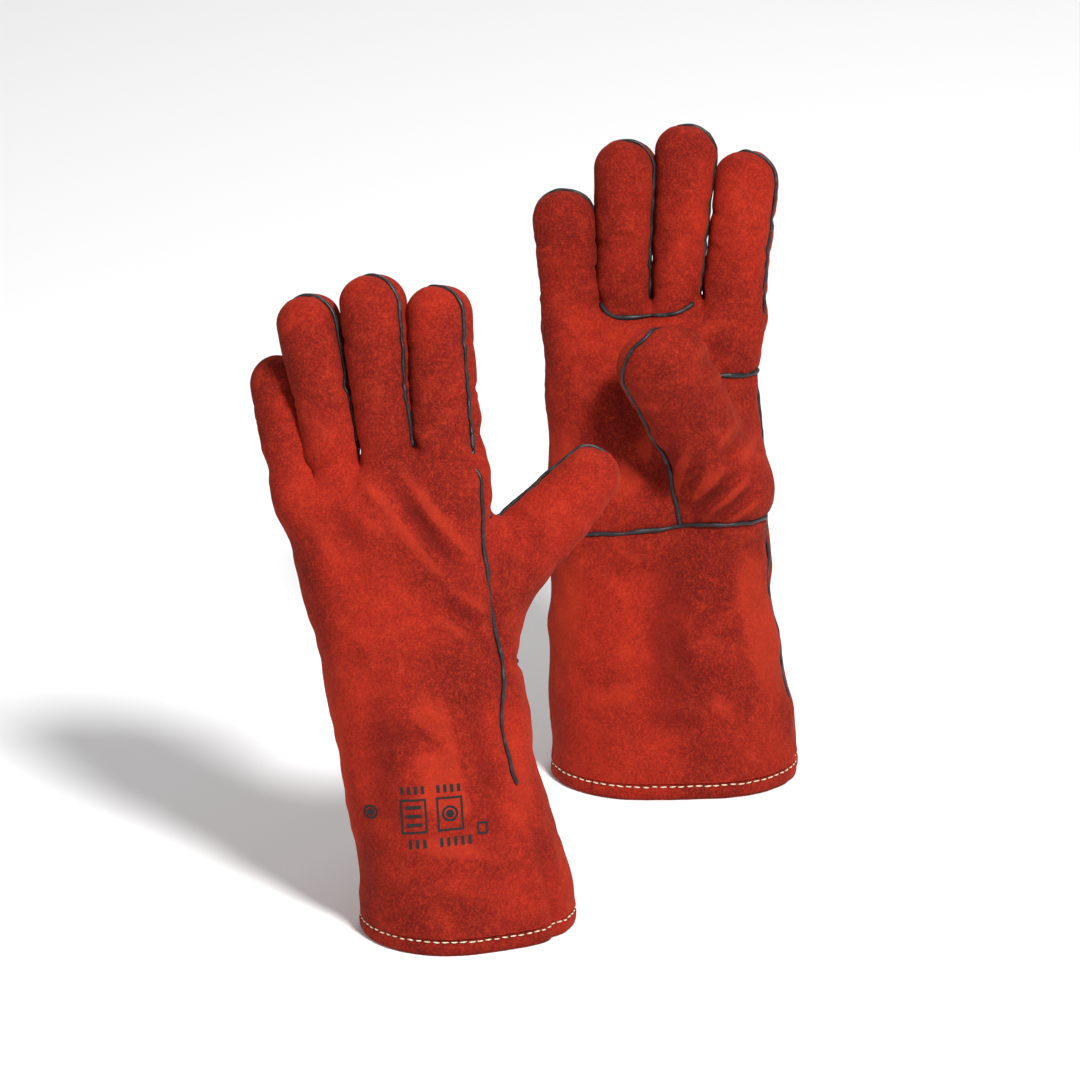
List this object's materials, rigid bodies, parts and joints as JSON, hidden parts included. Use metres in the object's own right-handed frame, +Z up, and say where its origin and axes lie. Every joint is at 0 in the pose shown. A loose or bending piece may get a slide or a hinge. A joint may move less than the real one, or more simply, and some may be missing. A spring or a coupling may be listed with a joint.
{
  "type": "welding gloves",
  "caption": "Pair of long-cuffed leather welding gauntlets with piped seams, set-in thumbs, bending fingers and wrists, standing on their hems.",
  "frame": {"origin": "centre of the pair's footprint, on the surface that the hems stand on", "axes": "+Z up along the gloves; +X across them towards the thumbs; -Y towards the viewer, with the left glove in front showing its back and the right glove behind showing its palm"},
  "size_m": [0.2938, 0.3372, 0.3356],
  "materials": {
    "red_split_leather": "napped suede",
    "hem_leather": "napped suede, folded and stitched",
    "black_welt": "satin",
    "fleece_lining": "brushed cotton fleece",
    "canvas_lining": "plain weave canvas",
    "print_ink": "worn matt ink",
    "hem_thread": "twisted aramid thread"
  },
  "bodies": {
    "left_cuff": {"left_cuff_back": "red_split_leather", "left_cuff_front": "red_split_leather", "left_cuff_lining": "canvas_lining", "left_cuff_welts": "black_welt", "left_cuff_hem": "hem_leather"},
    "right_cuff": {"right_cuff_back": "red_split_leather", "right_cuff_front": "red_split_leather", "right_cuff_lining": "canvas_lining", "right_cuff_welts": "black_welt", "right_cuff_hem": "hem_leather"},
    "right_hand": {"right_hand_back": "red_split_leather", "right_palm": "red_split_leather", "right_thumb_wing": "red_split_leather", "right_hand_lining": "fleece_lining", "right_hand_welts": "black_welt"},
    "right_index": {"right_index_back": "red_split_leather", "right_index_front": "red_split_leather", "right_index_lining": "fleece_lining", "right_index_welt": "black_welt"},
    "right_middle": {"right_middle_back": "red_split_leather", "right_middle_front": "red_split_leather", "right_middle_lining": "fleece_lining", "right_middle_welt": "black_welt"},
    "right_ring": {"right_ring_back": "red_split_leather", "right_ring_front": "red_split_leather", "right_ring_lining": "fleece_lining", "right_ring_welt": "black_welt"},
    "right_little": {"right_little_back": "red_split_leather", "right_little_front": "red_split_leather", "right_little_lining": "fleece_lining", "right_little_welt": "black_welt"},
    "right_thumb": {"right_thumb_back": "red_split_leather", "right_thumb_front": "red_split_leather", "right_thumb_lining": "fleece_lining", "right_thumb_welt": "black_welt"},
    "left_hand": {"left_hand_back": "red_split_leather", "left_palm": "red_split_leather", "left_thumb_wing": "red_split_leather", "left_hand_lining": "fleece_lining", "left_hand_welts": "black_welt"},
    "left_index": {"left_index_back": "red_split_leather", "left_index_front": "red_split_leather", "left_index_lining": "fleece_lining", "left_index_welt": "black_welt"},
    "left_middle": {"left_middle_back": "red_split_leather", "left_middle_front": "red_split_leather", "left_middle_lining": "fleece_lining", "left_middle_welt": "black_welt"},
    "left_ring": {"left_ring_back": "red_split_leather", "left_ring_front": "red_split_leather", "left_ring_lining": "fleece_lining", "left_ring_welt": "black_welt"},
    "left_little": {"left_little_back": "red_split_leather", "left_little_front": "red_split_leather", "left_little_lining": "fleece_lining", "left_little_welt": "black_welt"},
    "left_thumb": {"left_thumb_back": "red_split_leather", "left_thumb_front": "red_split_leather", "left_thumb_lining": "fleece_lining", "left_thumb_welt": "black_welt"}
  },
  "joints": [
    {"name": "right_glove_lift", "type": "slide", "parent": "left_cuff", "child": "right_cuff", "axis": [0, 0, 1], "range_m": [0, 0.36]},
    {"name": "right_wrist_bend", "type": "hinge", "parent": "right_cuff", "child": "right_hand", "pos_m": [0.06912, 0.12377, 0.12999], "axis": [1, 0, 0], "range_deg": [-25, 25], "stiffness_Nm_per_rad": 2},
    {"name": "right_index_curl", "type": "hinge", "parent": "right_hand", "child": "right_index", "pos_m": [0.10562, 0.1434, 0.24128], "axis": [0.991, -0.0233, -0.1321], "range_deg": [-10, 60], "stiffness_Nm_per_rad": 0.12},
    {"name": "right_middle_curl", "type": "hinge", "parent": "right_hand", "child": "right_middle", "pos_m": [0.07862, 0.1434, 0.24128], "axis": [0.9984, -0.0097, -0.055], "range_deg": [-10, 60], "stiffness_Nm_per_rad": 0.12},
    {"name": "right_ring_curl", "type": "hinge", "parent": "right_hand", "child": "right_ring", "pos_m": [0.05112, 0.1434, 0.24128], "axis": [1, -0.0007, -0.0041], "range_deg": [-10, 60], "stiffness_Nm_per_rad": 0.12},
    {"name": "right_little_curl", "type": "hinge", "parent": "right_hand", "child": "right_little", "pos_m": [0.02362, 0.1434, 0.24128], "axis": [0.9964, 0.0147, 0.0835], "range_deg": [-10, 60], "stiffness_Nm_per_rad": 0.12},
    {"name": "right_thumb_curl", "type": "hinge", "parent": "right_hand", "child": "right_thumb", "pos_m": [0.08742, 0.09139, 0.19549], "axis": [0.8805, 0.0823, 0.4669], "range_deg": [-24, 10], "stiffness_Nm_per_rad": 0.12},
    {"name": "left_wrist_bend", "type": "hinge", "parent": "left_cuff", "child": "left_hand", "pos_m": [-0.05158, -0.09723, 0.12999], "axis": [-1, 0, 0], "range_deg": [-25, 25], "stiffness_Nm_per_rad": 2},
    {"name": "left_index_curl", "type": "hinge", "parent": "left_hand", "child": "left_index", "pos_m": [-0.04058, -0.0776, 0.24128], "axis": [-0.9986, -0.0092, -0.0519], "range_deg": [-10, 60], "stiffness_Nm_per_rad": 0.12},
    {"name": "left_middle_curl", "type": "hinge", "parent": "left_hand", "child": "left_middle", "pos_m": [-0.07008, -0.07662, 0.2411], "axis": [-0.994, -0.0191, -0.1081], "range_deg": [-10, 60], "stiffness_Nm_per_rad": 0.12},
    {"name": "left_ring_curl", "type": "hinge", "parent": "left_hand", "child": "left_ring", "pos_m": [-0.09808, -0.07071, 0.24006], "axis": [-0.9852, -0.0298, -0.169], "range_deg": [-10, 60], "stiffness_Nm_per_rad": 0.12},
    {"name": "left_little_curl", "type": "hinge", "parent": "left_hand", "child": "left_little", "pos_m": [-0.12658, -0.06283, 0.23867], "axis": [-0.9857, -0.0293, -0.166], "range_deg": [-10, 60], "stiffness_Nm_per_rad": 0.12},
    {"name": "left_thumb_curl", "type": "hinge", "parent": "left_hand", "child": "left_thumb", "pos_m": [0.00747, -0.07152, 0.19825], "axis": [-0.7256, 0.1195, 0.6776], "range_deg": [-10, 40], "stiffness_Nm_per_rad": 0.12}
  ],
  "couplings": [
    {"joint": "right_little_curl", "follows": "right_ring_curl", "ratio": 1},
    {"joint": "left_little_curl", "follows": "left_ring_curl", "ratio": 1}
  ]
}
